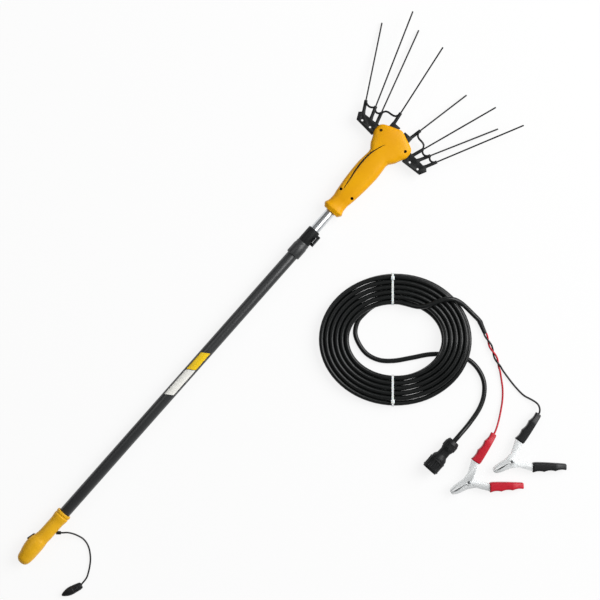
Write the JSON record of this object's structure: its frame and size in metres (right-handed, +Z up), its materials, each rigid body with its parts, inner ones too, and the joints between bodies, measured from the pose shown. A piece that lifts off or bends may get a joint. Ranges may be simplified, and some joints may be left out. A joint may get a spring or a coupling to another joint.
{
  "type": "electric olive harvester",
  "caption": "Telescopic pole with a switch grip and a motor head that swings two tined combs, with a coiled supply cable, screw connector and battery clamps.",
  "frame": {"origin": "on the floor under the middle of the harvester's length, below the pole's axis", "axes": "+Y along the pole from grip to tines, +Z up from the floor, +X to the right of the pole"},
  "size_m": [1.1341, 1.7461, 0.0492],
  "materials": {
    "yellow_plastic": "satin moulded",
    "dark_tube": "dark anodised satin",
    "bare_aluminium": "polished",
    "black_plastic": "moulded black",
    "tine": "black composite rod",
    "cable": "black sheath",
    "red_vinyl": "red vinyl",
    "black_vinyl": "black vinyl",
    "tie": "white tie",
    "bright_steel": "bright zinc plate",
    "drive_metal": "plain"
  },
  "bodies": {
    "pole": {"outer_tube": "dark_tube", "grip_top": "yellow_plastic", "grip_bottom": "yellow_plastic", "grip_screws": "bright_steel", "switch_body": "black_plastic", "pigtail_grommet": "cable", "pigtail_cord": "cable", "pigtail_plug": "cable", "lock_sleeve": "black_plastic", "lock_collar": "black_plastic", "lever_pin": "bright_steel", "cable_coil": "cable", "cable_ties": "tie", "connector_tail": "cable", "battery_tail": "cable", "split_sleeve": "cable", "red_lead": "red_vinyl", "black_lead": "cable", "connector_nut": "black_plastic", "connector_body": "black_plastic", "red_fixed_jaw": "bright_steel", "red_fixed_sleeve": "red_vinyl", "red_clamp_pin": "bright_steel", "red_clamp_spring": "bright_steel", "black_fixed_jaw": "bright_steel", "black_fixed_sleeve": "black_vinyl", "black_clamp_pin": "bright_steel", "black_clamp_spring": "bright_steel"},
    "switch_button": {"power_switch": "black_plastic"},
    "lever": {"lock_lever": "black_plastic"},
    "upper": {"inner_tube": "bare_aluminium", "guide_bush": "black_plastic", "head_top": "yellow_plastic", "head_bottom": "yellow_plastic", "head_screws": "bright_steel", "motor": "drive_metal", "gearbox": "drive_metal", "left_pivot": "bright_steel", "right_pivot": "bright_steel"},
    "crankshaft": {"crank": "bright_steel"},
    "left_comb_body": {"left_comb": "black_plastic", "left_tine_1": "tine", "left_tine_2": "tine", "left_tine_3": "tine", "left_tine_4": "tine"},
    "right_comb_body": {"right_comb": "black_plastic", "right_tine_1": "tine", "right_tine_2": "tine", "right_tine_3": "tine", "right_tine_4": "tine"},
    "left_rod_body": {"left_rod": "bright_steel"},
    "right_rod_body": {"right_rod": "bright_steel"},
    "ring": {"coupling_ring": "black_plastic"},
    "red_jaw": {"red_moving_jaw": "bright_steel", "red_moving_sleeve": "red_vinyl"},
    "black_jaw": {"black_moving_jaw": "bright_steel", "black_moving_sleeve": "black_vinyl"}
  },
  "joints": [
    {"name": "pole_extend", "type": "slide", "parent": "pole", "child": "upper", "axis": [0, 1, 0], "range_m": [-0.055, 0.65]},
    {"name": "crank_turn", "type": "hinge", "parent": "upper", "child": "crankshaft", "pos_m": [0, 0.573, 0.024], "axis": [0, 0, 1], "continuous": true},
    {"name": "left_swing", "type": "hinge", "parent": "upper", "child": "left_comb_body", "pos_m": [-0.042, 0.588, 0.024], "axis": [0, 0, 1], "range_deg": [-11, 11]},
    {"name": "right_swing", "type": "hinge", "parent": "upper", "child": "right_comb_body", "pos_m": [0.042, 0.588, 0.024], "axis": [0, 0, 1], "range_deg": [-11, 11]},
    {"name": "left_rod_pivot", "type": "hinge", "parent": "left_comb_body", "child": "left_rod_body", "pos_m": [-0.042, 0.573, 0.024], "axis": [0, 0, 1], "range_deg": [-11, 11]},
    {"name": "right_rod_pivot", "type": "hinge", "parent": "right_comb_body", "child": "right_rod_body", "pos_m": [0.042, 0.573, 0.024], "axis": [0, 0, 1], "range_deg": [-11, 11]},
    {"name": "lock_flip", "type": "hinge", "parent": "pole", "child": "lever", "pos_m": [0.0215, 0.259, 0.024], "axis": [0, 1, 0], "range_deg": [0, 110]},
    {"name": "switch_press", "type": "slide", "parent": "pole", "child": "switch_button", "axis": [0.9703, -0.2419, 0], "range_m": [0, 0.002], "stiffness_N_per_m": 1500, "springref_m": -0.002},
    {"name": "ring_turn", "type": "hinge", "parent": "pole", "child": "ring", "pos_m": [0.63597, 0.11015, 0.0225], "axis": [0, -1, 0], "continuous": true},
    {"name": "red_clamp_open", "type": "hinge", "parent": "pole", "child": "red_jaw", "pos_m": [0.73637, 0.05478, 0.0134], "axis": [0, 0, 1], "range_deg": [0, 10], "stiffness_Nm_per_rad": 1.5, "springref_deg": -28.65},
    {"name": "black_clamp_open", "type": "hinge", "parent": "pole", "child": "black_jaw", "pos_m": [0.78447, 0.16943, 0.0134], "axis": [0, 0, 1], "range_deg": [0, 10], "stiffness_Nm_per_rad": 1.5, "springref_deg": -28.65}
  ],
  "couplings": [
    {"joint": "right_swing", "follows": "left_swing", "ratio": -1},
    {"joint": "left_rod_pivot", "follows": "left_swing", "ratio": -1},
    {"joint": "right_rod_pivot", "follows": "left_swing", "ratio": 1}
  ]
}
